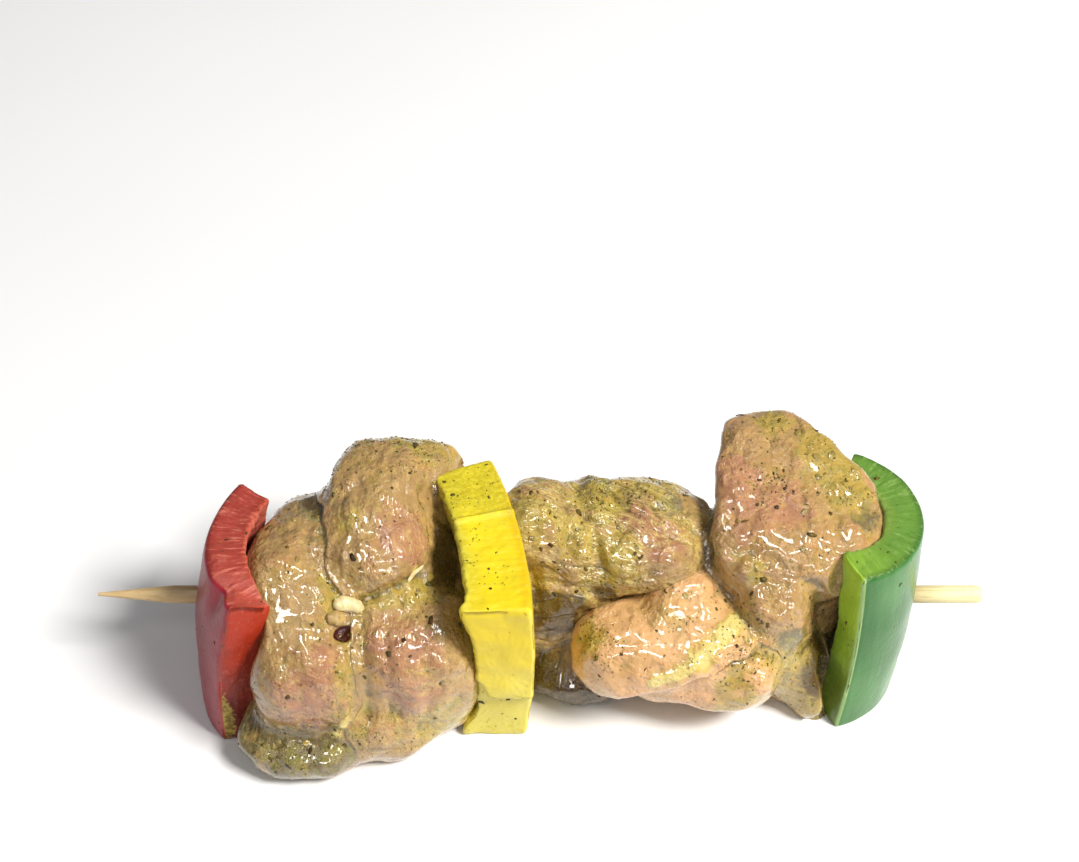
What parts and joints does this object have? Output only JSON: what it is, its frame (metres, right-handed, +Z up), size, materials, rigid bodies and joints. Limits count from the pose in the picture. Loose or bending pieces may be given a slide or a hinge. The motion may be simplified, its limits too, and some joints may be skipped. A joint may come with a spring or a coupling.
{
  "type": "chicken kebab skewer",
  "caption": "Raw marinated chicken and pepper pieces threaded on a pointed wooden stick, lying on its side.",
  "frame": {"origin": "middle of the kebab's box seen from above, on the table that it lies on", "axes": "+X along the stick towards its blunt end, +Z up from the table, -Y towards the side that shows"},
  "size_m": [0.18, 0.0606, 0.0472],
  "materials": {
    "wood": "plain sanded wood, damp with marinade near the food",
    "red_pepper": "moist cut pepper with a smooth glossy skin on its outer side",
    "yellow_pepper": "moist cut pepper with a smooth glossy skin on its outer side",
    "green_pepper": "moist cut pepper with a smooth glossy skin on its outer side",
    "chicken": "wet raw meat with an oily marinade and herb flecks",
    "marinade": "oily, glossy",
    "herbs": "dried crushed leaves"
  },
  "bodies": {
    "root": {"stick": "wood", "red_pepper": "red_pepper", "yellow_pepper": "yellow_pepper", "green_pepper": "green_pepper", "chicken_1": "chicken", "chicken_2": "chicken", "chicken_3": "chicken", "chicken_4": "chicken", "chicken_5": "chicken"}
  },
  "joints": []
}
